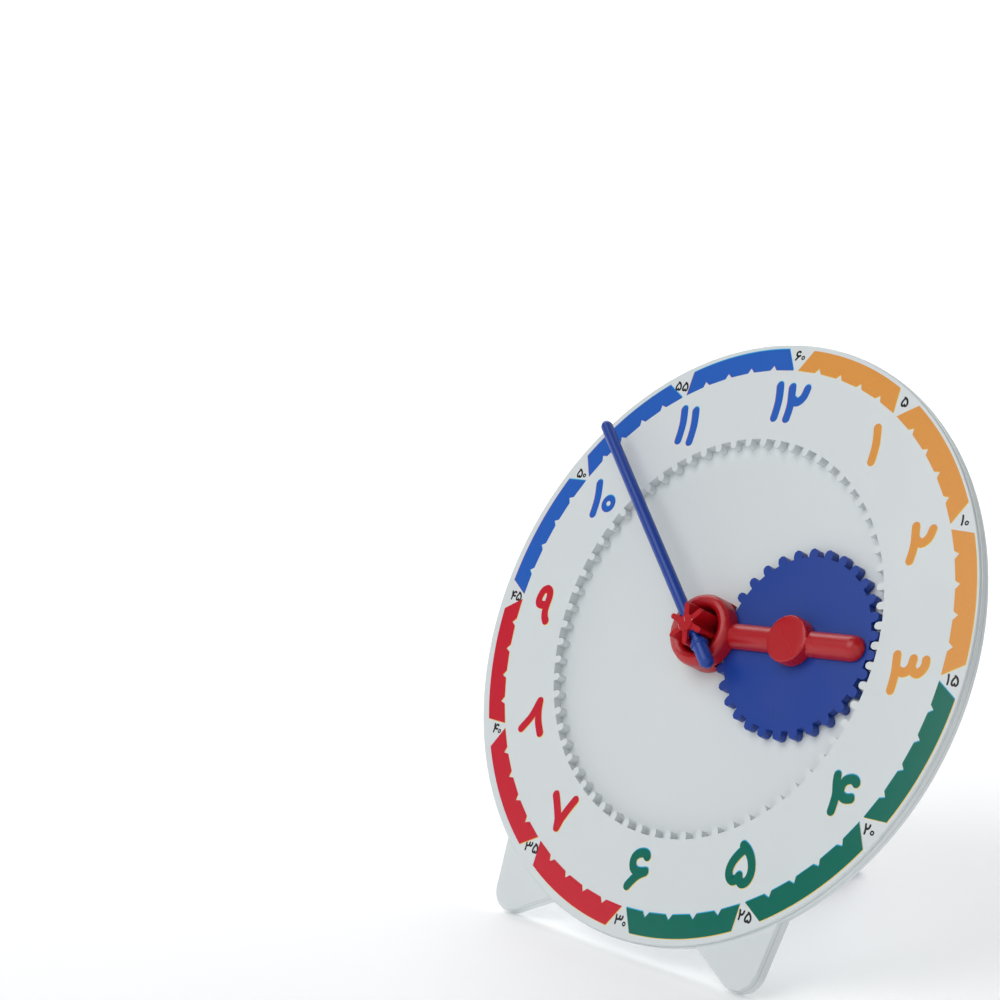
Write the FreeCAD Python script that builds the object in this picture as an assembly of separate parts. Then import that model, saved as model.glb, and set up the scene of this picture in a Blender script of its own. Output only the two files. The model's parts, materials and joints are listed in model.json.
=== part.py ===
import FreeCAD, Part
import math
import os

Vector = FreeCAD.Vector

# Geared teaching clock. Each piece is drawn on the dial, which has its face at z = 0, 12 towards +Y and the
# hub's axis as +Z. The whole clock is then leaned back until it stands on its two feet and its rear leg.
# All lengths are in millimetres and all angles in degrees, clockwise as seen from the front.

# Gear train: a pinion turned by hand, a planet wheel on the hour hand and a ring of teeth in the dial.
gear_module = 2.0
sun_teeth = 6
planet_teeth = 30
tooth_addendum = 1.2
sun_dedendum = 2.95
planet_dedendum = 1.7
ring_dedendum = 1.5
tooth_tip_flats = 4
sun_tooth_width = 1.9
planet_tooth_width = 3.2
ring_tooth_width = 2.45
planet_thickness = 3.2
running_gap = 0.2

# Dial plate: a hollow moulding, open behind, with a raised floor under the gears.
face_radius = 100.9
face_edge_round = 0.3
rim_step = 0.4
rim_step_depth = 1.2
rim_depth = 5.9
rim_taper = 0.7
rim_wall = 3.4
lip_round = 1.2
lip_inner_round = 0.4
parting_depth = 2.9
annulus_thickness = 2.1
recess_depth = 3.4
floor_thickness = 1.8
ring_wall = 0.7
plateau_slope = 1.8
plateau_round = 0.7
shaft_hole_gap = 0.2

# Feet: two hollow tongues below the rim.
foot_spread = 51.2
foot_drop = 3.2
foot_round_radius = 7.7
foot_outer_angle = 38.0
foot_inner_angle = 18.0
foot_wall = 2.2
foot_skin = 1.9
foot_edge_bevel = 0.5

# Sockets behind the dial: the lower one takes the leg, the upper one is spare. The seams of their round
# walls are turned clear of their sides.
upper_socket_y = 60.0
lower_socket_y = -62.3
socket_base_radius = 3.9
socket_mouth_radius = 3.65
socket_mouth_round = 0.3
socket_height = 6.8
socket_bore_radius = 2.4
socket_bore_depth = 6.5
socket_seam_angle = 20.0

# Clips behind the dial that hold the leg across for storage.
clip_x = 36.2
clip_y = 27.7
clip_opening = 5.4
clip_height = 4.8
clip_block_width = 2.4
clip_block_depth = 2.4
clip_rib_width = 3.4
clip_rib_depth = 1.2

# Sun pinion: a long pinion with a shaft through the plate.
sun_shaft_radius = 3.8
sun_shaft_reach = 9.0
sun_cap_above_hand = 2.9
sun_button_radius = 2.8
sun_button_height = 0.3
sun_socket_radius = 2.2
sun_socket_depth = 4.0
hand_hole_gap = 0.05

# Minute hand: a round rod through the pinion.
hand_reach = 94.6
hand_radius = 2.1
hand_back = 3.4
hand_neck_radius = 1.5
hand_collar_start = 6.4
hand_collar_radius = 2.3
hand_tail_start = 8.0
hand_tail_radius = 2.5
hand_tail_reach = 17.4
hand_over_hub_gap = 0.2

# Hour hand: a hub round the pinion, an arm over the planet and the planet's pivot.
hub_bore_gap = 0.4
hub_wall = 4.5
hub_rise = 6.0
hub_round = 2.2
hub_window_half_angle = 61.0
hub_slot_width = 1.0
hub_slot_depth = 1.1
hub_slot_below_arm = 1.6
hub_slot_sweep = 206.0
arm_radius = 4.15
arm_reach = 63.4
arm_gap = 0.4
arm_button_radius = 7.75
arm_button_height = 4.6
arm_button_round = 0.5
pivot_radius = 3.05
pivot_gap = 0.15
pivot_end_gap = 0.4
pivot_end_round = 0.3

# Back knob: a ribbed thumb wheel with two ears, pressed on the pinion's shaft.
knob_plate_gap = 0.4
knob_thickness = 5.4
knob_base_radius = 12.6
knob_base_thickness = 1.0
knob_drum_radius = 11.3
knob_flange_radius = 12.05
knob_flange_thickness = 1.0
knob_groove_width = 0.5
knob_groove_depth = 0.4
knob_edge_round = 0.3
knob_well_radius = 5.95
knob_well_depth = 3.6
knob_press_gap = 0.02
knob_rib_places = 14
knob_rib_width = 2.6
knob_rib_height = 0.8
knob_rib_round = 0.5
knob_ear_reach = 16.3
knob_ear_width = 6.2
knob_ear_height = 4.4
knob_ear_bevel = 0.8
knob_ear_angle = -58.7

# Stand leg: a stepped rod, tilted up a little in its loose socket.
leg_tilt = 5.9
leg_pin_radius = 2.0
leg_pin_length = 6.2
leg_neck_radius = 2.1
leg_neck_length = 1.4
leg_collar_radius = 2.6
leg_collar_length = 2.1
leg_collar_round = 0.5
leg_shank_radius = 2.1
leg_shank_length = 18.5
leg_body_radius = 2.85
leg_body_length = 62.0
leg_shoulder_radius = 2.45
leg_shoulder_length = 0.8
leg_tip_radius = 2.1
leg_tip_length = 12.5
leg_step_round = 0.3

# Time shown by the clock at rest: the minute hand's angle past 12, and its whole turns since 12 o'clock.
rest_minute_angle = 313.2
rest_minute_turns = 2

# Angles of the drawing, how far a cutting shape runs past what it cuts, the shortest edge drawn, and how far
# the flats that draw a small round may lie inside it.
full_turn = 360.0
quarter_turn = full_turn / 4
overrun = 1.0
shortest_edge = 1e-6
round_tolerance = 0.17

# Gear sizes that follow from the module.
ring_teeth = sun_teeth + 2 * planet_teeth
centre_distance = gear_module * (sun_teeth + planet_teeth) / 2
sun_pitch_radius = gear_module * sun_teeth / 2
planet_pitch_radius = gear_module * planet_teeth / 2
ring_pitch_radius = gear_module * ring_teeth / 2
sun_tip_radius = sun_pitch_radius + tooth_addendum
sun_root_radius = sun_pitch_radius - sun_dedendum
planet_tip_radius = planet_pitch_radius + tooth_addendum
planet_root_radius = planet_pitch_radius - planet_dedendum
ring_tip_radius = ring_pitch_radius - tooth_addendum
ring_root_radius = ring_pitch_radius + ring_dedendum

# Levels along the hub's axis, from front to back.
gear_bottom = running_gap - recess_depth
planet_top = gear_bottom + planet_thickness
arm_bottom = planet_top + arm_gap
hub_top = arm_bottom + hub_rise
hand_level = hub_top + hand_over_hub_gap + hand_tail_radius
sun_top = hand_level + sun_cap_above_hand
plateau_level = -recess_depth - floor_thickness
floor_middle = -recess_depth - floor_thickness / 2
socket_mouth = plateau_level - socket_height
knob_top = plateau_level - knob_plate_gap
knob_bottom = knob_top - knob_thickness

# Radii that follow from what passes through or round them.
rim_radius = face_radius + rim_step
foot_reach = rim_radius + foot_drop
lip_radius = rim_radius - rim_taper
shaft_hole_radius = sun_shaft_radius + shaft_hole_gap
plateau_radius = ring_root_radius + ring_wall
hub_bore_radius = sun_tip_radius + hub_bore_gap
hub_radius = hub_bore_radius + hub_wall
leg_length = (leg_pin_length + leg_neck_length + leg_collar_length + leg_shank_length + leg_body_length
              + leg_shoulder_length + leg_tip_length)

# Turns of the moving pieces at rest. The planet rolls back inside the ring as the hour hand goes round.
minute_turn = rest_minute_angle + rest_minute_turns * full_turn
hour_turn = minute_turn / (1 + ring_teeth / sun_teeth)
planet_turn = -hour_turn * ring_teeth / planet_teeth


def flats(radius, turn):
    """Number of flats that draw a round, turning by an angle in radians, within the tolerance."""
    return math.ceil(turn / (2 * math.acos(1 - min(round_tolerance / radius, 1))))


def closed_outline(points):
    """Flat closed outline through points, without those that lie on the point before."""
    kept = [p for i, p in enumerate(points) if p.distanceToPoint(points[i - 1]) > shortest_edge]
    return Part.makePolygon(kept + kept[:1])


def rounded_outline(corners):
    """Flat closed outline through (x, y, round) corners; a round is limited by the sides beside it."""
    count = len(corners)
    points = [Vector(x, y, 0) for x, y, _ in corners]
    drawn = []
    for i, (_, _, corner_round) in enumerate(corners):
        following = (i + 1) % count
        back = points[i - 1] - points[i]
        ahead = points[following] - points[i]
        room_back = back.Length / 2 if corners[i - 1][2] else back.Length
        room_ahead = ahead.Length / 2 if corners[following][2] else ahead.Length
        half_angle = back.getAngle(ahead) / 2
        reach = min(corner_round / math.tan(half_angle), room_back, room_ahead)
        if not reach:
            drawn.append(points[i])
            continue
        radius = reach * math.tan(half_angle)
        turn = math.pi - 2 * half_angle
        start = points[i] + back.normalize() * reach
        end = points[i] + ahead.normalize() * reach
        centre = points[i] + (back + ahead).normalize() * math.hypot(reach, radius)
        count_of_flats = flats(radius, turn)
        for k in range(count_of_flats + 1):
            swing = turn * k / count_of_flats
            towards = (start - centre) * math.sin(turn - swing) + (end - centre) * math.sin(swing)
            drawn.append(centre + towards * (1 / math.sin(turn)))
    return closed_outline(drawn)


def prism(outline, bottom, top):
    """Straight prism of a flat outline between two levels."""
    solid = Part.Face(outline).extrude(Vector(0, 0, top - bottom))
    solid.translate(Vector(0, 0, bottom))
    return solid


def turned(corners):
    """Solid of revolution about the Z axis from (radius, level, round) corners."""
    solid = Part.Face(rounded_outline(corners)).revolve(Vector(0, 0, 0), Vector(0, 1, 0), full_turn)
    solid.rotate(Vector(0, 0, 0), Vector(1, 0, 0), quarter_turn)
    return solid


def drum(radius, bottom, top, x=0, y=0):
    """Plain cylinder about a line parallel to Z."""
    return Part.makeCylinder(radius, top - bottom, Vector(x, y, bottom))


def sector(radius, bottom, top, start_angle, sweep):
    """Slice of a cylinder, going counter-clockwise from an angle that is measured from 12."""
    solid = Part.makeCylinder(radius, top - bottom, Vector(0, 0, bottom), Vector(0, 0, 1), sweep)
    return swung(solid, -quarter_turn - start_angle)


def swung(shape, clockwise_angle, centre=Vector(0, 0, 0)):
    """Copy of a shape, turned clockwise in the plane of the dial."""
    result = shape.copy()
    result.rotate(centre, Vector(0, 0, 1), -clockwise_angle)
    return result


def aimed(shape, start, direction):
    """A shape drawn about Z from the origin, laid along a direction from a start point."""
    laid = FreeCAD.Placement(start, FreeCAD.Rotation(Vector(0, 0, 1), direction))
    shape.Placement = laid.multiply(shape.Placement)
    return shape


def mirrored(shape):
    """Mirror image of a shape to the other side of the 12 to 6 line."""
    return shape.mirror(Vector(0, 0, 0), Vector(1, 0, 0))


def gear_outline(teeth, root_radius, tip_radius, tooth_width, tooth_at_twelve):
    """Gear outline with parallel-sided, round-ended teeth, which point inwards where the tips are nearer."""
    half_width = tooth_width / 2
    outward = 1 if tip_radius > root_radius else -1
    foot_level = math.sqrt(root_radius ** 2 - half_width ** 2)
    tip_centre = tip_radius - outward * half_width
    points = []
    for i in range(teeth):
        tooth_angle = 2 * math.pi * (i if tooth_at_twelve else i + 0.5) / teeth
        tooth = [(-half_width, foot_level)]
        for k in range(tooth_tip_flats + 1):
            swing = math.pi * k / tooth_tip_flats
            level = tip_centre + outward * half_width * math.sin(swing)
            tooth.append((-half_width * math.cos(swing), level))
        tooth.append((half_width, foot_level))
        for across, along in tooth:
            x = along * math.sin(tooth_angle) + across * math.cos(tooth_angle)
            y = along * math.cos(tooth_angle) - across * math.sin(tooth_angle)
            points.append(Vector(x, y, 0))
    return closed_outline(points)


def plate_body():
    """Turned body of the plate: face, stepped rim that tapers behind the parting line, and raised floor."""
    plateau_base_radius = plateau_radius + plateau_slope
    lip_inner_radius = lip_radius - rim_wall
    return turned([
        (shaft_hole_radius, 0, 0),
        (face_radius, 0, face_edge_round),
        (face_radius, -rim_step_depth, 0),
        (rim_radius, -rim_step_depth, 0),
        (rim_radius, -parting_depth, 0),
        (lip_radius, -rim_depth, lip_round),
        (lip_inner_radius, -rim_depth, lip_inner_round),
        (lip_inner_radius, -annulus_thickness, 0),
        (plateau_base_radius, -annulus_thickness, 0),
        (plateau_radius, plateau_level, plateau_round),
        (shaft_hole_radius, plateau_level, 0),
    ])


def foot_outline(inset):
    """Outline of the right foot, drawn in from its free edges by an inset."""
    centre = Vector(foot_spread, foot_round_radius - foot_reach, 0)
    radius = foot_round_radius - inset
    root_radius = rim_radius - rim_wall / 2

    def side(rim_angle, turn):
        """Point on the rim, and the direction in which the line from it meets the foot's round end."""
        angle = math.radians(rim_angle)
        rim_point = Vector(root_radius * math.sin(angle), -root_radius * math.cos(angle), 0)
        towards = rim_point - centre
        swing = turn * math.degrees(math.acos(foot_round_radius / towards.Length))
        normal = FreeCAD.Rotation(Vector(0, 0, 1), swing).multVec(towards.normalize())
        return rim_point, normal

    outer_point, outer_normal = side(foot_outer_angle, -1)
    inner_point, inner_normal = side(foot_inner_angle, 1)
    middle = (outer_normal + inner_normal).normalize()
    outer_start = outer_point - outer_normal * inset
    outer_end = centre + outer_normal * radius
    inner_end = centre + inner_normal * radius
    inner_start = inner_point - inner_normal * inset
    return Part.Wire([
        Part.makeLine(outer_start, outer_end),
        Part.Arc(outer_end, centre + middle * radius, inner_end).toShape(),
        Part.makeLine(inner_end, inner_start),
        Part.makeLine(inner_start, outer_start),
    ])


def foot():
    """Right foot: a solid tongue with bevelled front edges."""
    solid = prism(foot_outline(0), -rim_depth, -rim_step_depth)
    front_edges = [e for e in solid.Edges if e.BoundBox.ZMin > -rim_step_depth - shortest_edge]
    free_edges = [e for e in front_edges if e.BoundBox.Center.Length > rim_radius]
    return solid.makeChamfer(foot_edge_bevel, free_edges)


def foot_hollow():
    """Space that leaves the right foot open at the back, outside the unbroken rim."""
    hollow = prism(foot_outline(foot_wall), -rim_depth - overrun, -rim_step_depth - foot_skin)
    return hollow.cut(drum(rim_radius, -rim_depth - 2 * overrun, overrun))


def socket(y):
    """Tapered boss behind the dial, standing on the raised floor."""
    boss = swung(turned([
        (0, floor_middle, 0),
        (socket_base_radius, floor_middle, 0),
        (socket_mouth_radius, socket_mouth, socket_mouth_round),
        (0, socket_mouth, 0),
    ]), socket_seam_angle)
    boss.translate(Vector(0, y, 0))
    return boss


def socket_bore(y):
    """Blind bore of a socket."""
    bore = drum(socket_bore_radius, socket_mouth - overrun, socket_mouth + socket_bore_depth)
    bore = swung(bore, socket_seam_angle)
    bore.translate(Vector(0, y, 0))
    return bore


def clip():
    """Right clip: a pair of T-shaped fingers with the stored leg's width between them."""
    near = clip_opening / 2
    step = near + clip_block_depth
    far = step + clip_rib_depth
    half_block = clip_block_width / 2
    half_rib = clip_rib_width / 2
    upper = prism(rounded_outline([
        (-half_block, near, 0),
        (half_block, near, 0),
        (half_block, step, 0),
        (half_rib, step, 0),
        (half_rib, far, 0),
        (-half_rib, far, 0),
        (-half_rib, step, 0),
        (-half_block, step, 0),
    ]), plateau_level - clip_height, floor_middle)
    upper.translate(Vector(clip_x, clip_y, 0))
    lower = upper.mirror(Vector(0, clip_y, 0), Vector(0, 1, 0))
    return [upper, lower]


def dial_plate():
    """The white moulding: plate, feet, sockets and clips, with the ring gear sunk into its face."""
    right_foot = foot()
    right_clip = clip()
    added = [right_foot, mirrored(right_foot), socket(upper_socket_y), socket(lower_socket_y)]
    added += right_clip + [mirrored(finger) for finger in right_clip]
    ring = gear_outline(ring_teeth, ring_root_radius, ring_tip_radius, ring_tooth_width, False)
    hollow = foot_hollow()
    removed = [
        prism(ring, -recess_depth, overrun),
        drum(shaft_hole_radius, plateau_level - overrun, overrun),
        hollow,
        mirrored(hollow),
        socket_bore(upper_socket_y),
        socket_bore(lower_socket_y),
    ]
    return plate_body().fuse(added).cut(removed)


def sun_pinion():
    """Long red pinion, its gap at 12 crossed by the minute hand, with its shaft through the plate."""
    teeth = gear_outline(sun_teeth, sun_root_radius, sun_tip_radius, sun_tooth_width, False)
    shaft_end = plateau_level + recess_depth + floor_thickness - sun_shaft_reach
    body = prism(teeth, gear_bottom, sun_top).fuse([
        drum(sun_button_radius, sun_top, sun_top + sun_button_height),
        drum(sun_shaft_radius, shaft_end, gear_bottom),
    ])
    hole_radius = hand_radius + hand_hole_gap
    cross_hole = Part.makeCylinder(hole_radius, 2 * sun_tip_radius, Vector(0, -sun_tip_radius, hand_level),
                                   Vector(0, 1, 0))
    end_socket = drum(sun_socket_radius, shaft_end - overrun, shaft_end + sun_socket_depth)
    return body.cut([cross_hole, end_socket])


def minute_hand():
    """Blue rod with a rounded tip and a short thicker tail behind a snap-in neck."""
    rod = turned([
        (0, -hand_tail_reach, 0),
        (hand_tail_radius, -hand_tail_reach, hand_tail_radius),
        (hand_tail_radius, -hand_tail_start, 0),
        (hand_collar_radius, -hand_tail_start, 0),
        (hand_collar_radius, -hand_collar_start, 0),
        (hand_neck_radius, -hand_collar_start, 0),
        (hand_neck_radius, -hand_back, 0),
        (hand_radius, -hand_back, 0),
        (hand_radius, hand_reach, hand_radius),
        (0, hand_reach, 0),
    ])
    return aimed(rod, Vector(0, 0, hand_level), Vector(0, 1, 0))


def hub():
    """Hub of the hour hand: a round-topped ring whose skirt is open towards the planet, with a side slot."""
    ring = turned([
        (hub_bore_radius, gear_bottom, 0),
        (hub_radius, gear_bottom, 0),
        (hub_radius, hub_top, hub_round),
        (hub_bore_radius, hub_top, hub_round),
    ])
    outside = hub_radius + overrun
    slot_top = arm_bottom - hub_slot_below_arm
    slot_bottom = slot_top - hub_slot_width
    slot_inner = hub_radius - hub_slot_depth
    window = sector(outside, gear_bottom - overrun, arm_bottom, -hub_window_half_angle,
                    2 * hub_window_half_angle)
    slot = sector(outside, slot_bottom, slot_top, hub_window_half_angle, hub_slot_sweep)
    slot = slot.cut(drum(slot_inner, slot_bottom, slot_top))
    slot_end = Part.makeCylinder(hub_slot_width / 2, outside - slot_inner,
                                 Vector(0, slot_inner, (slot_top + slot_bottom) / 2), Vector(0, 1, 0))
    slot_end = swung(slot_end, -hub_window_half_angle - hub_slot_sweep)
    return ring.cut([window, slot, slot_end])


def arm():
    """Half-round arm of the hour hand, flat below, with a round tip."""
    start = (hub_bore_radius + hub_radius) / 2
    rod = turned([
        (0, start, 0),
        (arm_radius, start, 0),
        (arm_radius, arm_reach, arm_radius),
        (0, arm_reach, 0),
    ])
    rod = aimed(rod, Vector(0, 0, arm_bottom), Vector(0, 1, 0))
    below = Part.makeBox(2 * arm_radius, arm_reach, arm_radius,
                         Vector(-arm_radius, 0, arm_bottom - arm_radius))
    return rod.cut(below)


def hour_hand():
    """Red hour hand with the button and pivot pin that carry the planet."""
    button_top = arm_bottom + arm_button_height
    button = turned([
        (0, arm_bottom, 0),
        (arm_button_radius, arm_bottom, 0),
        (arm_button_radius, button_top, arm_button_round),
        (0, button_top, 0),
    ])
    pin_end = gear_bottom + pivot_end_gap
    pin = turned([
        (0, pin_end, 0),
        (pivot_radius, pin_end, pivot_end_round),
        (pivot_radius, arm_bottom + arm_button_height / 2, 0),
        (0, arm_bottom + arm_button_height / 2, 0),
    ])
    button.translate(Vector(0, centre_distance, 0))
    pin.translate(Vector(0, centre_distance, 0))
    return hub().fuse([arm(), button, pin])


def planet_gear():
    """Blue planet wheel, one tooth pointing at 12, with a plain bore for its pivot."""
    teeth = gear_outline(planet_teeth, planet_root_radius, planet_tip_radius, planet_tooth_width, True)
    wheel = prism(teeth, gear_bottom, planet_top)
    wheel = wheel.cut(drum(pivot_radius + pivot_gap, gear_bottom - overrun, planet_top + overrun))
    wheel.translate(Vector(0, centre_distance, 0))
    return wheel


def knob_rib():
    """One rib of the knob's grip, at 12."""
    half_width = knob_rib_width / 2
    outer = knob_drum_radius + knob_rib_height
    outline = rounded_outline([
        (-half_width, knob_well_radius, 0),
        (half_width, knob_well_radius, 0),
        (half_width, outer, knob_rib_round),
        (-half_width, outer, knob_rib_round),
    ])
    bottom = knob_bottom + knob_flange_thickness + knob_groove_width
    return prism(outline, bottom, knob_top - knob_base_thickness)


def knob_ear():
    """One ear of the knob, at 12: a round-ended lug with a bevelled rear edge."""
    half_width = knob_ear_width / 2
    outline = rounded_outline([
        (-half_width, knob_well_radius, 0),
        (half_width, knob_well_radius, 0),
        (half_width, knob_ear_reach, half_width),
        (-half_width, knob_ear_reach, half_width),
    ])
    ear = prism(outline, knob_top - knob_ear_height, knob_top)
    rear = [e for e in ear.Edges if e.BoundBox.ZMax < knob_top - knob_ear_height + shortest_edge]
    round_end = [e for e in rear if e.BoundBox.Center.y > knob_well_radius + shortest_edge]
    return ear.makeChamfer(knob_ear_bevel, round_end)


def back_knob():
    """Red thumb wheel: base flange, ribbed drum, groove and rear flange round a deep well."""
    bore_radius = sun_shaft_radius + knob_press_gap
    base_bottom = knob_top - knob_base_thickness
    flange_top = knob_bottom + knob_flange_thickness
    groove_top = flange_top + knob_groove_width
    groove_radius = knob_drum_radius - knob_groove_depth
    well_floor = knob_bottom + knob_well_depth
    wheel = turned([
        (bore_radius, knob_top, 0),
        (knob_base_radius, knob_top, 0),
        (knob_base_radius, base_bottom, 0),
        (knob_drum_radius, base_bottom, 0),
        (knob_drum_radius, groove_top, 0),
        (groove_radius, groove_top, 0),
        (groove_radius, flange_top, 0),
        (knob_flange_radius, flange_top, 0),
        (knob_flange_radius, knob_bottom, knob_edge_round),
        (knob_well_radius, knob_bottom, knob_edge_round),
        (knob_well_radius, well_floor, 0),
        (bore_radius, well_floor, 0),
    ])
    grips = []
    rib = knob_rib()
    ear = knob_ear()
    for i in range(knob_rib_places):
        has_ear = 2 * i % knob_rib_places == 0
        angle = knob_ear_angle + i * full_turn / knob_rib_places
        grips.append(swung(ear if has_ear else rib, angle))
    return wheel.fuse(grips)


def leg_axis():
    """Start of the leg inside its socket and the direction in which it points."""
    tilt = math.radians(leg_tilt)
    direction = Vector(0, math.sin(tilt), -math.cos(tilt))
    middle = Vector(0, lower_socket_y, socket_mouth + leg_pin_length / 2)
    return middle - direction * (leg_pin_length / 2), direction


def stand_leg():
    """Blue stepped leg: pin, neck, collar and shank, a thick body, then a thin rounded tip."""
    neck_start = leg_pin_length
    collar_start = neck_start + leg_neck_length
    shank_start = collar_start + leg_collar_length
    body_start = shank_start + leg_shank_length
    shoulder_start = body_start + leg_body_length
    tip_start = shoulder_start + leg_shoulder_length
    rod = turned([
        (0, 0, 0),
        (leg_pin_radius, 0, leg_step_round),
        (leg_pin_radius, neck_start, 0),
        (leg_neck_radius, neck_start, 0),
        (leg_neck_radius, collar_start, 0),
        (leg_collar_radius, collar_start, leg_collar_round),
        (leg_collar_radius, shank_start, leg_collar_round),
        (leg_shank_radius, shank_start, 0),
        (leg_shank_radius, body_start, 0),
        (leg_body_radius, body_start, leg_step_round),
        (leg_body_radius, shoulder_start, leg_step_round),
        (leg_shoulder_radius, shoulder_start, 0),
        (leg_shoulder_radius, tip_start, leg_step_round),
        (leg_tip_radius, tip_start, 0),
        (leg_tip_radius, leg_length, leg_tip_radius),
        (0, leg_length, 0),
    ])
    start, direction = leg_axis()
    return aimed(rod, start, direction)


def lean_angle():
    """Lean of the dial at which the feet's rear edges and the leg's round tip touch one level."""
    start, direction = leg_axis()
    tip_centre = start + direction * (leg_length - leg_tip_radius)
    height = tip_centre.y + foot_reach
    depth = -rim_depth - tip_centre.z
    apart = math.hypot(height, depth)
    return math.degrees(math.acos(leg_tip_radius / apart) - math.atan2(depth, height))


def stood_up(shape, lean):
    """A shape turned from the dial's own frame into the standing, leaning position."""
    result = shape.copy()
    result.rotate(Vector(0, 0, 0), Vector(1, 0, 0), quarter_turn - lean)
    return result


def pieces():
    """Every piece by name, in the dial's own frame, with the hands at the time shown."""
    planet_centre = Vector(0, centre_distance, 0)
    planet = swung(planet_gear(), planet_turn, planet_centre)
    return {
        "dial_plate": dial_plate(),
        "sun_pinion": swung(sun_pinion(), minute_turn),
        "back_knob": swung(back_knob(), minute_turn),
        "minute_hand": swung(minute_hand(), minute_turn),
        "hour_hand": swung(hour_hand(), hour_turn),
        "planet_gear": swung(planet, hour_turn),
        "stand_leg": stand_leg(),
    }


lean = lean_angle()
standing = {name: stood_up(shape, lean) for name, shape in pieces().items()}
bounds = Part.makeCompound(list(standing.values())).optimalBoundingBox(False, False)
to_origin = Vector(-bounds.Center.x, -bounds.Center.y, -bounds.ZMin)

os.makedirs("parts", exist_ok=True)
for name, shape in standing.items():
    shape.translate(to_origin)
    shape.exportStep(f"parts/{name}.step")
    print(name, "solids", len(shape.Solids), "valid", shape.isValid(), "volume", round(shape.Volume, 1))

print("lean", lean, "dial centre", to_origin, "size", bounds.XLength, bounds.YLength, bounds.ZLength)
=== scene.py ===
import json
import math
import random

import bmesh
import bpy
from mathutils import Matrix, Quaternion, Vector

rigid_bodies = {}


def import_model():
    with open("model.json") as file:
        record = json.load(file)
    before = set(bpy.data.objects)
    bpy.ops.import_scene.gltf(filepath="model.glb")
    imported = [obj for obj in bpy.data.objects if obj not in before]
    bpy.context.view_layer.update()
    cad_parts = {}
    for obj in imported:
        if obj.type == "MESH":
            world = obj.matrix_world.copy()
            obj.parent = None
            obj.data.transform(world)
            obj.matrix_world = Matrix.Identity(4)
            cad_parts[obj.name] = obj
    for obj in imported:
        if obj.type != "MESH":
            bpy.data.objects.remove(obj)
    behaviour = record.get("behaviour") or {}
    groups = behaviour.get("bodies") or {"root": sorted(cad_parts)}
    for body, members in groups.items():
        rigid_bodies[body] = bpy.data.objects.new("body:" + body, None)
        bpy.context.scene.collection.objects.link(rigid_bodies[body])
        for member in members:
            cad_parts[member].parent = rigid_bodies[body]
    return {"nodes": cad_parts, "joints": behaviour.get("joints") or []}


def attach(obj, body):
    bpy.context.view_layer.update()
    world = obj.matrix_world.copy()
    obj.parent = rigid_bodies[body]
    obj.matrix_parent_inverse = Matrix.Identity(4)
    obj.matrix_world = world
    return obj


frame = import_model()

for leftover in [o for o in bpy.data.objects if o.name in ("Cube", "Light", "Camera")]:
    bpy.data.objects.remove(leftover)
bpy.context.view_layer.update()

# Dial plate: one injection moulding in white ABS, with the sunk ring of teeth, two hollow feet, two sockets
# and two clips. The mould gives ABS a soft, slightly uneven gloss and a faint skin, and its two halves leave
# a fine line round the rim. It stands on its feet and on the leg behind.
MM = 0.001
minute_joint = next(j for j in frame["joints"] if j["name"] == "minute_spin")
dial_middle = Vector(minute_joint["pos_m"])
dial_outward = -Vector(minute_joint["axis"]).normalized()
dial_right = Vector((1, 0, 0))
dial_upward = dial_outward.cross(dial_right)


def on_dial(x, y, z):
    """A point in metres from its place on the dial in mm: right, up towards 12, and out of the face."""
    return dial_middle + (dial_right * x + dial_upward * y + dial_outward * z) * MM


def linear(code):
    """The linear colour of an sRGB hex value."""
    shares = [int(code[i:i + 2], 16) / 255 for i in (1, 3, 5)]
    return [v / 12.92 if v <= 0.04045 else ((v + 0.055) / 1.055) ** 2.4 for v in shares] + [1]


def add(tree, kind, inputs=None, **settings):
    """A new node with its settings. Its inputs are values, or other nodes' outputs to link."""
    node = tree.nodes.new(kind)
    for name, value in settings.items():
        setattr(node, name, value)
    for place, value in (inputs or {}).items():
        if isinstance(value, bpy.types.NodeSocket):
            tree.links.new(value, node.inputs[place])
        else:
            node.inputs[place].default_value = value
    return node


usual_noise = (0.3, 0.7)


def moulded(name, colour, flow_colour, roughness, flow_mm, skin_mm, skin_height_mm, ior):
    """Moulded plastic: a slow drift of colour and gloss from the melt's flow, and the skin of the mould."""
    material = bpy.data.materials.new(name)
    material.use_nodes = True
    tree = material.node_tree
    shader = tree.nodes["Principled BSDF"]
    place = add(tree, "ShaderNodeTexCoord").outputs["Object"]
    drift = add(tree, "ShaderNodeTexNoise", {"Vector": place, "Scale": 1 / (flow_mm * MM), "Detail": 1})
    flow = drift.outputs["Fac"]
    tint = add(tree, "ShaderNodeMix", {"Factor": flow, 6: linear(colour), 7: linear(flow_colour)},
               data_type="RGBA")
    gloss = add(tree, "ShaderNodeMapRange",
                {"Value": flow, "From Min": usual_noise[0], "From Max": usual_noise[1],
                 "To Min": roughness[0], "To Max": roughness[1]},
                interpolation_type="SMOOTHSTEP")
    skin = add(tree, "ShaderNodeTexNoise", {"Vector": place, "Scale": 1 / (skin_mm * MM), "Detail": 2})
    bump = add(tree, "ShaderNodeBump", {"Height": skin.outputs["Fac"], "Distance": skin_height_mm * MM})
    tree.links.new(tint.outputs[2], shader.inputs["Base Color"])
    tree.links.new(gloss.outputs["Result"], shader.inputs["Roughness"])
    tree.links.new(bump.outputs["Normal"], shader.inputs["Normal"])
    shader.inputs["IOR"].default_value = ior
    return material


join_within_mm, smooth_up_to_deg = 0.002, 50


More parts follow.
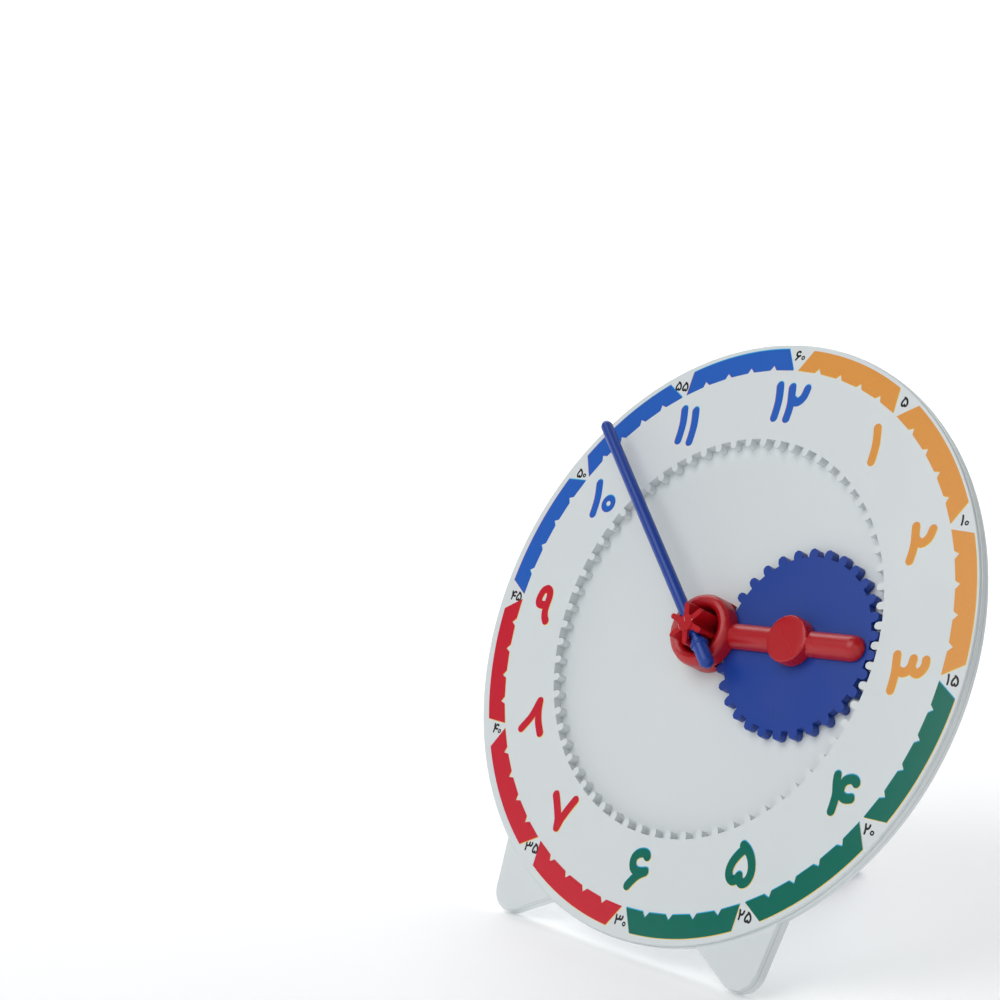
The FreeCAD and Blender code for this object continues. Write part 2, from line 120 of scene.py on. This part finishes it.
def smooth_rounds():
    """A modifier group that joins the CAD faces' shared points and shades all but the sharp edges smooth."""
    tree = bpy.data.node_groups.new("smooth_rounds", "GeometryNodeTree")
    tree.interface.new_socket("Geometry", in_out="INPUT", socket_type="NodeSocketGeometry")
    tree.interface.new_socket("Geometry", in_out="OUTPUT", socket_type="NodeSocketGeometry")
    shape = add(tree, "NodeGroupInput").outputs[0]
    joined = add(tree, "GeometryNodeMergeByDistance", {"Geometry": shape, "Distance": join_within_mm * MM})
    bare = add(tree, "GeometryNodeRemoveAttribute", {"Geometry": joined.outputs[0], "Name": "custom_normal"})
    faces = add(tree, "GeometryNodeSetShadeSmooth", {"Geometry": bare.outputs[0]}, domain="FACE")
    angle = add(tree, "GeometryNodeInputMeshEdgeAngle").outputs["Unsigned Angle"]
    sharp = add(tree, "FunctionNodeCompare", {"A": angle, "B": math.radians(smooth_up_to_deg)},
                operation="GREATER_THAN")
    edges = add(tree, "GeometryNodeSetShadeSmooth",
                {"Geometry": faces.outputs[0], "Selection": sharp.outputs[0], "Shade Smooth": False},
                domain="EDGE")
    add(tree, "NodeGroupOutput", {0: edges.outputs[0]})
    return tree


smoothing = smooth_rounds()


def finish_node(name, material):
    """Gives a CAD node its real material and soft shading over its rounds."""
    node = frame["nodes"][name]
    if not node.material_slots:
        node.data.materials.append(material)
    for held in node.material_slots:
        held.material = material
    node.modifiers.new("smooth_rounds", "NODES").node_group = smoothing
    weighted = node.modifiers.new("weighted_normals", "WEIGHTED_NORMAL")
    weighted.keep_sharp = True


white_abs = moulded("white_abs_moulded", "#DBE0E1", "#D3DADB", roughness=(0.34, 0.44), flow_mm=40,
                    skin_mm=1.2, skin_height_mm=0.004, ior=1.53)
tree = white_abs.node_tree
shader = tree.nodes["Principled BSDF"]
place = next(n for n in tree.nodes if n.bl_idname == "ShaderNodeTexCoord").outputs["Object"]
from_middle = add(tree, "ShaderNodeVectorMath", {0: place, 1: dial_middle}, operation="SUBTRACT").outputs[0]
height = add(tree, "ShaderNodeVectorMath", {0: from_middle, 1: dial_outward}, operation="DOT_PRODUCT")
reach = add(tree, "ShaderNodeVectorMath", {0: from_middle}, operation="LENGTH")
parting_depth_mm, parting_width_mm, rim_from_mm = 2.9, 0.22, 100.6
line_gap = add(tree, "ShaderNodeMath", {0: height.outputs["Value"], 1: -parting_depth_mm * MM},
               operation="SUBTRACT")
line_away = add(tree, "ShaderNodeMath", {0: line_gap.outputs[0]}, operation="ABSOLUTE")
near_line = add(tree, "ShaderNodeMath", {0: line_away.outputs[0], 1: parting_width_mm / 2 * MM},
                operation="LESS_THAN")
on_rim = add(tree, "ShaderNodeMath", {0: reach.outputs["Value"], 1: rim_from_mm * MM},
             operation="GREATER_THAN")
on_line = add(tree, "ShaderNodeMath", {0: near_line.outputs[0], 1: on_rim.outputs[0]}, operation="MULTIPLY")
plain = shader.inputs["Base Color"].links[0].from_socket
lined = add(tree, "ShaderNodeMix", {"Factor": on_line.outputs[0], 6: plain, 7: linear("#A9AFB4")},
            data_type="RGBA")

# Fine dark specks lie behind the plate, in a loose and patchy arc over the knob.
speck_mm, cloud_mm, behind_mm = 0.34, 4.08, 4.9
arc_radius_mm, arc_band_mm, arc_low_mm, arc_full_mm = 20.5, 11, 8, 16
cloud_weight, arc_weight, speck_from, speck_full = 0.45, 0.35, 1.07, 1.13
upward = add(tree, "ShaderNodeVectorMath", {0: from_middle, 1: dial_upward}, operation="DOT_PRODUCT")
over_knob = add(tree, "ShaderNodeMapRange",
                {"Value": upward.outputs["Value"], "From Min": arc_low_mm * MM, "From Max": arc_full_mm * MM})
from_arc = add(tree, "ShaderNodeMath", {0: reach.outputs["Value"], 1: arc_radius_mm * MM},
               operation="SUBTRACT")
off_arc = add(tree, "ShaderNodeMath", {0: from_arc.outputs[0]}, operation="ABSOLUTE")
in_band = add(tree, "ShaderNodeMapRange",
              {"Value": off_arc.outputs[0], "From Min": arc_band_mm * MM, "From Max": 0})
behind = add(tree, "ShaderNodeMath", {0: height.outputs["Value"], 1: -behind_mm * MM}, operation="LESS_THAN")
in_arc = add(tree, "ShaderNodeMath", {0: over_knob.outputs[0], 1: in_band.outputs[0]}, operation="MULTIPLY")
speck_share = add(tree, "ShaderNodeMath", {0: in_arc.outputs[0], 1: behind.outputs[0]}, operation="MULTIPLY")
grains = add(tree, "ShaderNodeTexNoise", {"Vector": place, "Scale": 1 / (speck_mm * MM), "Detail": 1})
clouds = add(tree, "ShaderNodeTexNoise", {"Vector": place, "Scale": 1 / (cloud_mm * MM), "Detail": 2})
patchy = add(tree, "ShaderNodeMath", {0: clouds.outputs["Fac"], 1: cloud_weight}, operation="MULTIPLY")
grain = add(tree, "ShaderNodeMath", {0: grains.outputs["Fac"], 1: patchy.outputs[0]}, operation="ADD")
raised = add(tree, "ShaderNodeMath", {0: speck_share.outputs[0], 1: arc_weight}, operation="MULTIPLY")
chance = add(tree, "ShaderNodeMath", {0: grain.outputs[0], 1: raised.outputs[0]}, operation="ADD")
speck = add(tree, "ShaderNodeMapRange",
            {"Value": chance.outputs[0], "From Min": speck_from, "From Max": speck_full})
specked = add(tree, "ShaderNodeMix", {"Factor": speck.outputs[0], 6: lined.outputs[2], 7: linear("#6A7074")},
              data_type="RGBA")
tree.links.new(specked.outputs[2], shader.inputs["Base Color"])
finish_node("dial_plate", white_abs)

# Printed scale: pad-printed ink on the face, in four colours for the quarters of the hour. The inks are laid
# down in separate passes that miss each other by a few tenths of a millimetre, so a thin edge of cyan, yellow
# or magenta shows. Each film is some hundredths of a millimetre thick and dries with a soft gloss.
print_shift = (1.05, 0.4)
film_low, film_step, stroke_step = -0.02, 0.02, 0.25
ink_gloss = (0.16, 0.24)


def ink(name, colours):
    """A printed ink film: even colour with the fine grain of the pad, and a soft gloss."""
    return moulded(name, *colours, roughness=ink_gloss, flow_mm=0.6, skin_mm=0.4, skin_height_mm=0.001,
                   ior=1.5)


def slab(film, outline, low, high, slot_number=0):
    """A closed flat solid over an outline on the dial, in mm, between two levels along its axis."""
    rings = [[film.verts.new(on_dial(x, y, z)) for x, y in outline] for z in (low, high)]
    faces = [film.faces.new(rings[1]), film.faces.new(rings[0][::-1])]
    for i in range(len(outline)):
        j = (i + 1) % len(outline)
        faces.append(film.faces.new((rings[0][i], rings[0][j], rings[1][j], rings[1][i])))
    for face in faces:
        face.material_index = slot_number


def lay_film(film, outline, level, ink_number=0):
    """One film of ink over an outline in the print, at its level above the face."""
    placed = [(x + print_shift[0], y + print_shift[1]) for x, y in outline]
    slab(film, placed, film_low, film_step * level, ink_number)


def round_points(x, y, radius, turns):
    """Points round a place at these turns, in radians."""
    return [(x + math.cos(t) * radius, y + math.sin(t) * radius) for t in turns]


def rounded_line(points, steps=6):
    """A smooth line through its points."""
    ends = [points[0], *points, points[-1]]
    line = []
    for a, b, c, d in zip(ends, ends[1:], ends[2:], ends[3:]):
        for t in (i / steps for i in range(steps)):
            line.append([(2 * q + (r - p) * t + (2 * p - 5 * q + 4 * r - s) * t * t
                          + (3 * q - p - 3 * r + s) * t ** 3) / 2 for p, q, r, s in zip(a, b, c, d)])
    return line + [list(points[-1])]


def pen_outline(points, width, end_steps=8, inside_share=0.95):
    """The outline of a stroke of a round pen along a smooth line, drawn in on the inside of tight bends."""
    line = rounded_line(points)
    nearby = [(line[max(i - 1, 0)], line[min(i + 1, len(line) - 1)]) for i in range(len(line))]
    slopes = [math.atan2(b[1] - a[1], b[0] - a[0]) for a, b in nearby]
    half = width / 2
    sides = [[], []]
    for i, ((x, y), slope) in enumerate(zip(line, slopes)):
        before, after = slopes[max(i - 1, 0)], slopes[min(i + 1, len(line) - 1)]
        turn = (after - before + math.pi) % (2 * math.pi) - math.pi
        run = math.dist(*nearby[i])
        for side, hand in zip(sides, (1, -1)):
            inside = turn * hand > 0
            away = min(half, run / abs(turn) * inside_share) if inside else half
            side.append((x - math.sin(slope) * away * hand, y + math.cos(slope) * away * hand))
    ends = []
    for (x, y), start in ((line[-1], slopes[-1] + math.pi / 2), (line[0], slopes[0] - math.pi / 2)):
        turns = [start - math.pi * k / end_steps for k in range(1, end_steps)]
        ends.append(round_points(x, y, half, turns))
    return sides[0] + ends[0] + sides[1][::-1] + ends[1]


# The strokes of each digit, in mm round its middle.
digit_strokes = {
    "1": [[(-0.9, 5.4), (-0.2, 2.9), (0.4, 0), (0.6, -2.9), (0.6, -5.8)]],
    "2": [[(-3.5, 5.3), (-2.9, 2.9), (-2.2, 0), (-2.0, -2.9), (-2.1, -5.6)],
          [(-2.1, 1.2), (-0.3, 0.35), (1.2, 0.8), (2.5, 2.5), (3.0, 5.2)]],
    "3": [[(-5.0, 5.3), (-4.5, 2.9), (-3.9, 0), (-3.7, -2.9), (-3.7, -5.5)],
          [(-3.9, 0.9), (-1.4, 0.4), (0.3, 1.2), (1.1, 2.9), (1.2, 5.0)],
          [(1.2, 2.6), (2.5, 1.2), (4.1, 0.95), (5.4, 2.2), (5.95, 3.9), (5.75, 5.3)]],
    "4": [[(-3.15, 5.2), (-2.7, 2.9), (-1.8, 0), (-1.6, -2.9), (-1.7, -5.6)],
          [(4.4, 4.2), (3.6, 4.9), (2.25, 5.05), (0.6, 4.4), (-0.4, 3.1), (-0.6, 1.6), (-0.1, 0.1),
           (1.0, -0.75), (2.3, -1.0), (4.0, -0.6)]],
    "5": [[(-1.8, 5.3), (0.3, 4.3), (2.4, 2.3), (3.8, -0.4), (4.1, -2.9), (3.4, -5.0), (1.9, -5.9),
           (0.6, -5.2), (-0.05, -4.0)],
          [(-0.05, -4.0), (-0.7, -5.2), (-2.0, -5.9), (-3.6, -5.0), (-4.35, -2.9), (-3.9, -0.3),
           (-2.5, 2.3), (-0.9, 4.3)]],
    "6": [[(2.7, 4.5), (1.9, 5.2), (0.5, 5.3), (-1.3, 4.6), (-2.45, 3.2), (-2.5, 1.6), (-1.7, 0),
           (-0.3, -0.8), (1.5, -0.8), (3.7, -0.2)],
          [(3.6, -0.3), (1.9, -1.3), (0.4, -2.7), (-0.9, -4.4), (-1.95, -6.1)]],
    "7": [[(-5.0, 5.1), (-2.85, 1.6), (-1.3, -1.2), (-0.7, -2.5), (-0.1, -5.3)],
          [(4.4, 5.1), (2.5, 1.6), (1.2, -1.2), (0.6, -2.6), (-0.1, -5.3)]],
    "8": [[(0.3, 5.2), (-0.6, 1.6), (-1.6, -1.2), (-4.3, -5.4)],
          [(0.4, 5.2), (1.2, 1.6), (2.8, -2.0), (5.2, -5.4)]],
    "9": [[(-1.0, 6.1), (0.6, 5.3), (1.25, 3.2), (1.2, 0.5), (1.3, -1.8), (2.0, -3.8), (3.1, -5.2)],
          [(-1.0, 6.1), (-2.5, 5.3), (-3.3, 3.4), (-3.4, 1.6), (-2.6, 0.4), (-1.0, 0.15), (0.8, 0.4)]],
}
zero_radius, zero_pen_share, zero_half_steps = 2.1, 0.7, 10
large_digits = {"scale": 1.0, "pen": 2.95, "zero_y": -1.2}


def draw_digit(film, digit, x, y, level, ink_number, scale, pen, zero_y):
    """One digit round its middle on the dial, in mm, as films of ink. A zero is two halves of a ring."""
    if digit == "0":
        half = pen * zero_pen_share / 2
        for first in (0, math.pi):
            turns = [first + math.pi * i / zero_half_steps for i in range(zero_half_steps + 1)]
            rings = [round_points(x, y + zero_y * scale, radius * scale, turns)
                     for radius in (zero_radius + half, zero_radius - half)]
            lay_film(film, rings[0] + rings[1][::-1], level, ink_number)
        return
    for number, stroke in enumerate(digit_strokes[digit]):
        outline = pen_outline([(x + px * scale, y + py * scale) for px, py in stroke], pen * scale)
        lay_film(film, outline, level + number * stroke_step, ink_number)


minute_deg, block_minutes, arc_parts = 6, 5, 24
block_outer, block_inner, notch_tip = 98.9, 91.5, 93.2
outer_end_deg, inner_end_deg, notch_half_deg = 3.1, 0.6, 0.84


def block_outline(first_minute, shift):
    """A five-minute block: an arc outside, and straight edges inside with a notch at each minute."""
    start, end = first_minute * minute_deg, (first_minute + block_minutes) * minute_deg
    arc_deg = end - start - 2 * outer_end_deg
    corners = [(start + outer_end_deg + arc_deg * i / arc_parts, block_outer) for i in range(arc_parts + 1)]
    corners.append((end - inner_end_deg, block_inner))
    for k in range(block_minutes - 1, 0, -1):
        middle = start + k * minute_deg
        corners += [(middle + notch_half_deg, block_inner), (middle, notch_tip),
                    (middle - notch_half_deg, block_inner)]
    corners.append((start + inner_end_deg, block_inner))
    return [(math.sin(math.radians(a)) * r + shift[0], math.cos(math.radians(a)) * r + shift[1])
            for a, r in corners]


def new_object(name, shape, materials):
    """An object of the scene with this shape, which has its materials in slots."""
    mesh = bpy.data.meshes.new(name)
    shape.normal_update()
    shape.to_mesh(mesh)
    shape.free()
    for material in materials:
        mesh.materials.append(material)
    made = bpy.data.objects.new(name, mesh)
    bpy.context.scene.collection.objects.link(made)
    return made


def place_print(name, film, inks, body="plate"):
    """Turns thin films into a piece that rides on a body, by default on the dial plate."""
    piece = new_object(name, film, inks)
    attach(piece, body)


cyan_edge = ink("cyan_ink_printed", ("#3DB4E2", "#35ABDA"))
yellow_edge = ink("yellow_ink_printed", ("#F0D25E", "#EACA52"))
magenta_edge = ink("magenta_ink_printed", ("#C9448A", "#C23D82"))
cyan_shift, yellow_shift, magenta_shift = (0.0, 0.36), (0.2, -0.16), (-0.16, -0.05)
quarters = {
    "orange": (("#E39B4B", "#DD9544"), 0, (("1", 41.6, 69), ("2", 70.2, 39.1), ("3", 79.1, -0.9)),
               ((yellow_edge, yellow_shift),)),
    "green": (("#056E5D", "#036756"), 15, (("4", 69.2, -40), ("5", 41.2, -67.8), ("6", 0.3, -78.9)),
              ((cyan_edge, cyan_shift), (yellow_edge, yellow_shift))),
    "red": (("#CC2335", "#C51D2F"), 30, (("7", -39.7, -68.7), ("8", -66.7, -39.8), ("9", -79.7, -1.8)),
            ((magenta_edge, magenta_shift), (yellow_edge, yellow_shift))),
    "blue": (("#2A63BF", "#255DB9"), 45, (("10", -67.6, 39), ("11", -39.5, 69.1), ("12", 1.5, 80.2)),
             ((cyan_edge, cyan_shift), (magenta_edge, magenta_shift))),
}
blocks_per_quarter = 3
pair_spread = {"10": ((-3.9, 0.2), (2.6, 0.0)), "11": ((-3.2, 0.0), (2.1, -0.1)),
               "12": ((-5.0, 0.2), (3.0, 0.0))}
for colour_name, (colours, first_minute, numerals, edges) in quarters.items():
    film = bmesh.new()
    top_ink = ink(colour_name + "_ink_printed", colours)
    layers = [(number, shift, number) for number, (_, shift) in enumerate(edges, 1)]
    layers.append((0, (0.0, 0.0), len(edges) + 1))
    for ink_number, shift, level in layers:
        for k in range(blocks_per_quarter):
            outline = block_outline(first_minute + block_minutes * k, shift)
            lay_film(film, outline, level, ink_number)
        for numeral, x, y in numerals:
            for digit, (dx, dy) in zip(numeral, pair_spread.get(numeral, ((0, 0),))):
                place_x, place_y = x + dx + shift[0], y + dy + shift[1]
                draw_digit(film, digit, place_x, place_y, level, ink_number, **large_digits)
    place_print("print_" + colour_name, film, [top_ink] + [material for material, _ in edges])

# Minute numerals: small numbers in black ink between the blocks, where each digit has the room that its width
# asks. They are the same pad-printed film with its soft gloss.
minute_numerals = (("60", -0.2, 96.8), ("5", 48.2, 83.8), ("10", 83.5, 48.2), ("15", 96.0, 0.1),
                   ("20", 83.0, -48), ("25", 48.2, -82.7), ("30", 0.1, -95.9), ("35", -48.1, -82.6),
                   ("40", -82.7, -47.4), ("45", -95.1, -0.2), ("50", -82.9, 47.5), ("55", -48.3, 82.9))
half_widths = {"0": 0.8, "1": 1.0, "2": 1.3, "3": 2.0, "4": 1.5, "5": 1.6, "6": 1.6}
small_digits = {"scale": 0.255, "pen": 2.8, "zero_y": -2.9}
film = bmesh.new()
for numeral, x, y in minute_numerals:
    places = [0] if len(numeral) == 1 else [-half_widths[numeral[1]], half_widths[numeral[0]]]
    for digit, aside in zip(numeral, places):
        draw_digit(film, digit, x + aside, y, level=1, ink_number=0, **small_digits)
place_print("print_black", film, [ink("black_ink_printed", ("#2F2A2C", "#262224"))])

# Ejector marks: the pins that push the plate off its mould leave shallow white discs behind it. A broken arc
# of matt grey dust lies round each disc, and the turning of the knob has left a few short scratches.
mark_radius, mark_height, mark_sunk, mark_sides = 3.0, 0.07, 0.04, 40
dust_height, dust_width, dust_overlap, dust_parts = 0.02, 0.3, 0.03, 14
least_arc_turn, most_arc_turn = 0.5, 1.7
annulus_back, floor_back, foot_back = -2.1, -5.2, -3.1
outer_reach, outer_count, scratch_width = 89, 8, 0.24
floor_marks, foot_mark = ((11.2, 59.5), (29.7, 27.5), (11, -60.5)), (48, -92)
outer_turns = [math.pi / 2 - 2 * math.pi * k / outer_count for k in range(outer_count)]
marks = [(x, y, annulus_back) for x, y in round_points(0, 0, outer_reach, outer_turns)]
marks += [(side * x, y, floor_back) for side in (-1, 1) for x, y in floor_marks]
marks += [(side * foot_mark[0], foot_mark[1], foot_back) for side in (-1, 1)]
dust = moulded("grey_dust_settled", "#9AA1A3", "#7D8486", roughness=(0.8, 0.9), flow_mm=3, skin_mm=0.3,
               skin_height_mm=0.01, ior=1.5)
dice = random.Random(12)
film = bmesh.new()
for x, y, back in marks:
    turns = [2 * math.pi * k / mark_sides for k in range(mark_sides)]
    slab(film, round_points(x, y, mark_radius, turns), back - mark_height, back + mark_sunk, 0)
    for start in (dice.uniform(0, math.pi), dice.uniform(math.pi, 2 * math.pi)):
        arc_turn = dice.uniform(least_arc_turn, most_arc_turn)
        arc = [start + arc_turn * k / dust_parts for k in range(dust_parts + 1)]
        near = round_points(x, y, mark_radius - dust_overlap, arc)
        far = []
        for k, turn in enumerate(arc):
            swell = math.sin(math.pi * (k + 0.5) / (dust_parts + 1))
            far += round_points(x, y, mark_radius + dust_width * swell, [turn])
        slab(film, far + near[::-1], back - mark_height - dust_height, back + mark_sunk, 1)
scratches = (((8.6, 52.6), (7.9, 52.0), (7.4, 51.2)), ((-2.3, 30.4), (-2.7, 29.4), (-3.2, 28.6)),
             ((14.2, -13.0), (14.4, -13.4)), ((10.6, -15.2), (10.4, -15.6)))
for scratch in scratches:
    slab(film, pen_outline(scratch, scratch_width), floor_back - dust_height, floor_back + mark_sunk, 1)
place_print("ejector_marks", film, [white_abs, dust])

# Back knob: a thumb wheel of red moulded plastic with ribs and two ears, pressed on the pinion's shaft. The
# plastic is glossy, with soft bright bands on its rounds.
red_plastic = moulded("red_plastic_moulded", "#B50D1A", "#AC0B17", roughness=(0.26, 0.34), flow_mm=18,
                      skin_mm=0.9, skin_height_mm=0.003, ior=1.5)
finish_node("back_knob", red_plastic)

# Sun pinion: the same red plastic. It turns in the plate's hole and drives the blue wheel. Where the runner
# was broken off its front end, the plastic is stressed pale and matt.
finish_node("sun_pinion", red_plastic)
pinion_front, mark_depth = 12.3, 0.02
gate_marks = ((((-1.0, 1.7), (-0.75, 1.1), (-0.4, 0.5)), 0.22), (((2.45, 1.3), (2.55, 1.45)), 0.4),
              (((-2.6, -0.9), (-2.1, -1.8), (-1.2, -2.4)), 0.16))
film = bmesh.new()
for mark, width in gate_marks:
    slab(film, pen_outline(mark, width), pinion_front - mark_depth, pinion_front + mark_depth)
stressed = moulded("red_plastic_stressed_pale", "#DDA0A0", "#C87F80", roughness=(0.4, 0.5), flow_mm=1,
                   skin_mm=0.3, skin_height_mm=0.002, ior=1.5)
place_print("sun_pinion_gate_mark", film, [stressed], "minute_train")

# Minute hand: a rod of blue moulded plastic, pushed through the pinion. A raised ring on its short end stops
# it there. The plastic has the red one's gloss, a little softer.
blue_plastic = moulded("blue_plastic_moulded", "#0E3C98", "#0B378F", roughness=(0.3, 0.38), flow_mm=18,
                       skin_mm=0.9, skin_height_mm=0.003, ior=1.5)
finish_node("minute_hand", blue_plastic)
hand_angle_deg, hand_level, ring_sides = 313.2, 9.1, 32
stop_corners = ((7.5, 2.2), (7.5, 2.75), (7.7, 2.95), (8.5, 2.95), (8.8, 2.5), (8.8, 2.2))
tail = Vector((-math.sin(math.radians(hand_angle_deg)), -math.cos(math.radians(hand_angle_deg))))
across = Vector((-tail.y, tail.x))
ring = bmesh.new()
loops = []
for along, radius in stop_corners:
    loop = []
    for k in range(ring_sides):
        turn = 2 * math.pi * k / ring_sides
        spot = tail * along + across * radius * math.cos(turn)
        loop.append(ring.verts.new(on_dial(spot.x, spot.y, hand_level + radius * math.sin(turn))))
    loops.append(loop)
for near, far in zip(loops, loops[1:] + loops[:1]):
    for k in range(ring_sides):
        ring.faces.new((near[k - 1], near[k], far[k], far[k - 1]))
bmesh.ops.recalc_face_normals(ring, faces=ring.faces)
stop_ring = new_object("minute_hand_stop_ring", ring, [blue_plastic])
stop_ring.modifiers.new("smooth_rounds", "NODES").node_group = smoothing
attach(stop_ring, "minute_train")

# Hour hand: hub, arm, button and pin in one red moulding, loose round the pinion's neck. The same glossy red
# plastic, with a bright band along the arm.
finish_node("hour_hand", red_plastic)

# Planet wheel: the wheel of thirty teeth in the same blue plastic, loose on the hour hand's pin. Two short
# scuffs show dark and matt on its front.
finish_node("planet_gear", blue_plastic)
wheel_front, scuff_width, scuff_depth = 0.0, 0.2, 0.02
scuffs = (((35.1, -19.0), (35.6, -19.7), (35.9, -20.6)), ((36.6, -20.9), (36.4, -21.6), (36.0, -22.3)))
film = bmesh.new()
for scuff in scuffs:
    slab(film, pen_outline(scuff, scuff_width), wheel_front - scuff_depth, wheel_front + scuff_depth)
scuffed = moulded("blue_plastic_scuffed", "#27375F", "#1D2C58", roughness=(0.5, 0.6), flow_mm=1, skin_mm=0.3,
                  skin_height_mm=0.002, ior=1.5)
place_print("planet_gear_scuffs", film, [scuffed], "planet")

# Stand leg: a stepped rod in the same blue plastic, pushed into the lower socket behind. Its tip stands on
# the table.
finish_node("stand_leg", blue_plastic)

# Studio: a pale floor that sweeps up all round into a backdrop, with large soft lights. Matt white acrylic
# that is lit a little from below keeps the shadows faint.
floor_radii, sweep_round, sweep_turn_deg, sweep_wall = (0.02, 0.45, 0.9), 0.9, 66, 0.08
sweep_parts, sweep_sides, floor_glow = 16, 96, 0.15
profile = [(radius, 0.0) for radius in floor_radii]
for i in range(1, sweep_parts + 1):
    turn = math.radians(sweep_turn_deg) * i / sweep_parts
    profile.append((floor_radii[-1] + sweep_round * math.sin(turn), sweep_round * (1 - math.cos(turn))))
profile.append((profile[-1][0] + sweep_wall * math.cos(turn), profile[-1][1] + sweep_wall * math.sin(turn)))
sweep = bmesh.new()
turns = [2 * math.pi * k / sweep_sides for k in range(sweep_sides)]
rings = [[sweep.verts.new((*spot, rise)) for spot in round_points(0, 0, radius, turns)]
         for radius, rise in profile]
for low, high in zip(rings, rings[1:]):
    for k in range(sweep_sides):
        sweep.faces.new((low[k], low[k - 1], high[k - 1], high[k]))
sweep.faces.new(rings[0])
acrylic = moulded("studio_acrylic_lit_from_below", "#F1F2F3", "#EEEFF0", roughness=(0.85, 0.95), flow_mm=400,
                  skin_mm=3, skin_height_mm=0.0, ior=1.49)
acrylic_shader = acrylic.node_tree.nodes["Principled BSDF"]
acrylic_shader.inputs["Emission Color"].default_value = linear("#FFFFFF")
acrylic_shader.inputs["Emission Strength"].default_value = floor_glow
studio_sweep = new_object("studio_sweep", sweep, [acrylic])
for polygon in studio_sweep.data.polygons:
    polygon.use_smooth = True


def soft_light(name, place, aim, size, power):
    """A large square studio light that faces a point."""
    light = bpy.data.lights.new(name, "AREA")
    light.size = size
    light.energy = power
    lamp = bpy.data.objects.new(name, light)
    lamp.location = place
    lamp.rotation_euler = (Vector(aim) - Vector(place)).to_track_quat("-Z", "Y").to_euler()
    bpy.context.scene.collection.objects.link(lamp)


clock_middle, air_glow = (0, 0, 0.1), 0.13
soft_light("key_light", (-0.2, -0.95, 1.15), clock_middle, size=1.2, power=10.8)
soft_light("side_light", (1.0, -0.7, 0.7), clock_middle, size=0.7, power=1.7)
soft_light("left_light", (-0.85, 0.45, 0.8), clock_middle, size=0.9, power=7)
soft_light("back_light", (-0.3, 1.0, 0.9), clock_middle, size=0.9, power=2)
soft_light("backdrop_light", (-0.6, 0.7, 1.3), (-1.25, 1.4, 0.3), size=0.8, power=13)
world = bpy.data.worlds.new("studio_air")
bpy.context.scene.world = world
world.use_nodes = True
air = world.node_tree.nodes["Background"]
air.inputs["Color"].default_value = linear("#F3F5F8")
air.inputs["Strength"].default_value = air_glow
bpy.context.scene.view_settings.view_transform = "Standard"

# Camera: a long lens from the right, a little above the clock, which stands low on the right of the picture.
camera_place, camera_aim = Vector((0.4849, -0.5211, 0.24443)), Vector((-0.11934, 0.0004, 0.12655))
camera_roll_deg = -1.15
lens = bpy.data.cameras.new("studio_camera")
lens.lens, lens.sensor_width = 79.4, 36
camera = bpy.data.objects.new("studio_camera", lens)
camera.location = camera_place
camera.rotation_mode = "QUATERNION"
facing = (camera_aim - camera_place).to_track_quat("-Z", "Y")
camera.rotation_quaternion = facing @ Quaternion((0, 0, 1), math.radians(camera_roll_deg))
bpy.context.scene.collection.objects.link(camera)
bpy.context.scene.camera = camera
